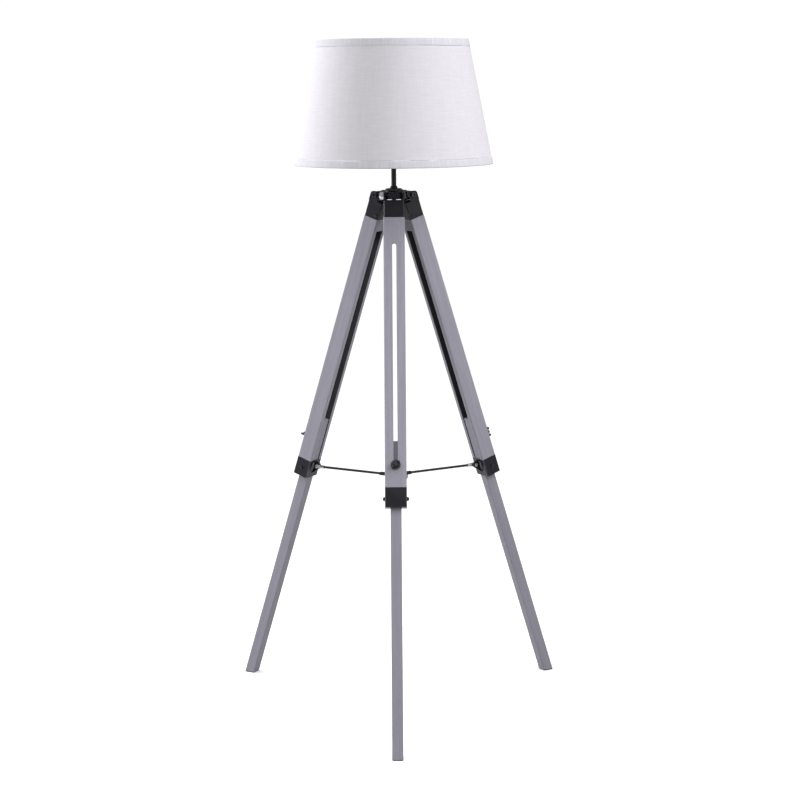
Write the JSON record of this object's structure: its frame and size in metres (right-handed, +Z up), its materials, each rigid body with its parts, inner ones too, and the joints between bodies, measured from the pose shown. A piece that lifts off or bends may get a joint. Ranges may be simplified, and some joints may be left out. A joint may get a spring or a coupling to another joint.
{
  "type": "tripod floor lamp",
  "caption": "Floor lamp on folding, height-adjustable timber legs with steel hub and braced spreader, under a tapered linen drum shade.",
  "frame": {"origin": "on the floor under the middle of the lamp's bounding box; the lamp's own upright axis stands at Y = +0.0906", "axes": "+Z up along the lamp pipe; -Y towards the front leg; the other two legs lean back to left (-X) and right (+X)"},
  "size_m": [0.6686, 0.5793, 1.346],
  "materials": {
    "black_steel": "satin black powder coat",
    "black_bolts": "black oxide, slightly glossy",
    "zinc": "bright zinc plate",
    "grey_timber": "matt grey painted timber, faint grain",
    "black_plastic": "matt black moulding",
    "black_rubber": "matt",
    "brass": "plain",
    "lamp_cap": "satin",
    "opal_glass": "frosted",
    "linen": "white slub linen",
    "shade_liner": "white, translucent",
    "white_wire": "white epoxy coat"
  },
  "bodies": {
    "head": {"hub_body": "black_steel", "hub_cap": "black_steel", "pipe_nut": "black_steel", "lamp_pipe": "black_steel", "cord_bush": "black_plastic", "socket_cap": "black_plastic", "socket_shell": "black_plastic", "socket_ring": "black_plastic", "socket_contact": "brass", "bulb_base": "lamp_cap", "bulb_glass": "opal_glass", "shade_fitter": "white_wire", "shade_ring_top": "white_wire", "shade_ring_bottom": "white_wire", "shade_liner": "shade_liner", "shade_cloth": "linen", "shade_hem_top": "linen", "shade_hem_bottom": "linen", "hinge_bolt_front": "black_bolts", "hinge_bolt_left": "black_bolts", "hinge_bolt_right": "black_bolts", "hinge_nut_front": "zinc", "hinge_nut_left": "zinc", "hinge_nut_right": "zinc"},
    "leg_front": {"bracket_front": "black_steel", "bracket_screws_front": "black_bolts", "upper_leg_front": "grey_timber", "sleeve_front": "black_steel", "sleeve_screws_front": "black_bolts"},
    "lower_front": {"lower_leg_front": "grey_timber", "foot_pad_front": "black_rubber", "clamp_bolt_front": "black_bolts"},
    "wing_front": {"wing_nut_front": "black_bolts"},
    "brace_front": {"rod_front": "black_steel", "rod_end_front": "zinc"},
    "leg_left": {"bracket_left": "black_steel", "bracket_screws_left": "black_bolts", "upper_leg_left": "grey_timber", "sleeve_left": "black_steel", "sleeve_screws_left": "black_bolts"},
    "lower_left": {"lower_leg_left": "grey_timber", "foot_pad_left": "black_rubber", "clamp_bolt_left": "black_bolts"},
    "wing_left": {"wing_nut_left": "black_bolts"},
    "brace_left": {"rod_left": "black_steel", "rod_end_left": "zinc"},
    "leg_right": {"bracket_right": "black_steel", "bracket_screws_right": "black_bolts", "upper_leg_right": "grey_timber", "sleeve_right": "black_steel", "sleeve_screws_right": "black_bolts"},
    "lower_right": {"lower_leg_right": "grey_timber", "foot_pad_right": "black_rubber", "clamp_bolt_right": "black_bolts"},
    "wing_right": {"wing_nut_right": "black_bolts"},
    "brace_right": {"rod_right": "black_steel", "rod_end_right": "zinc"},
    "spreader": {"spreader_centre": "black_steel"}
  },
  "joints": [
    {"name": "front_leg_fold", "type": "hinge", "parent": "head", "child": "leg_front", "pos_m": [0, 0.05865, 1.0415], "axis": [1, 0, 0], "range_deg": [0, 9.5]},
    {"name": "left_leg_fold", "type": "hinge", "parent": "head", "child": "leg_left", "pos_m": [-0.02771, 0.10665, 1.0415], "axis": [-0.5, -0.866, 0], "range_deg": [0, 9.5]},
    {"name": "right_leg_fold", "type": "hinge", "parent": "head", "child": "leg_right", "pos_m": [0.02771, 0.10665, 1.0415], "axis": [-0.5, 0.866, 0], "range_deg": [0, 9.5]},
    {"name": "front_leg_height", "type": "slide", "parent": "leg_front", "child": "lower_front", "axis": [0, 0.3156, 0.9489], "range_m": [0, 0.415]},
    {"name": "left_leg_height", "type": "slide", "parent": "leg_left", "child": "lower_left", "axis": [0.2734, -0.1578, 0.9489], "range_m": [0, 0.415]},
    {"name": "right_leg_height", "type": "slide", "parent": "leg_right", "child": "lower_right", "axis": [-0.2734, -0.1578, 0.9489], "range_m": [0, 0.415]},
    {"name": "front_wing_nut_turn", "type": "hinge", "parent": "lower_front", "child": "wing_front", "pos_m": [0, -0.12493, 0.53716], "axis": [0, -0.9489, 0.3156], "range_deg": [0, 720]},
    {"name": "left_wing_nut_turn", "type": "hinge", "parent": "lower_left", "child": "wing_left", "pos_m": [-0.1867, 0.19844, 0.53716], "axis": [-0.8218, 0.4744, 0.3156], "range_deg": [0, 720]},
    {"name": "right_wing_nut_turn", "type": "hinge", "parent": "lower_right", "child": "wing_right", "pos_m": [0.1867, 0.19844, 0.53716], "axis": [0.8218, 0.4744, 0.3156], "range_deg": [0, 720]},
    {"name": "front_rod_swing", "type": "hinge", "parent": "leg_front", "child": "brace_front", "pos_m": [0, -0.09912, 0.47219], "axis": [1, 0, 0], "range_deg": [0, 56]},
    {"name": "left_rod_swing", "type": "hinge", "parent": "leg_left", "child": "brace_left", "pos_m": [-0.16434, 0.18553, 0.47219], "axis": [-0.5, -0.866, 0], "range_deg": [0, 56]},
    {"name": "right_rod_swing", "type": "hinge", "parent": "leg_right", "child": "brace_right", "pos_m": [0.16434, 0.18553, 0.47219], "axis": [-0.5, 0.866, 0], "range_deg": [0, 56]},
    {"name": "spreader_rise", "type": "slide", "parent": "head", "child": "spreader", "axis": [0, 0, 1], "range_m": [0, 0.134]}
  ],
  "couplings": [
    {"joint": "left_leg_fold", "follows": "front_leg_fold", "ratio": 1},
    {"joint": "right_leg_fold", "follows": "front_leg_fold", "ratio": 1},
    {"joint": "front_rod_swing", "follows": "front_leg_fold", "ratio": 5.813},
    {"joint": "left_rod_swing", "follows": "front_leg_fold", "ratio": 5.813},
    {"joint": "right_rod_swing", "follows": "front_leg_fold", "ratio": 5.813},
    {"joint": "spreader_rise", "follows": "front_leg_fold", "m_per_rad": 0.80516}
  ]
}
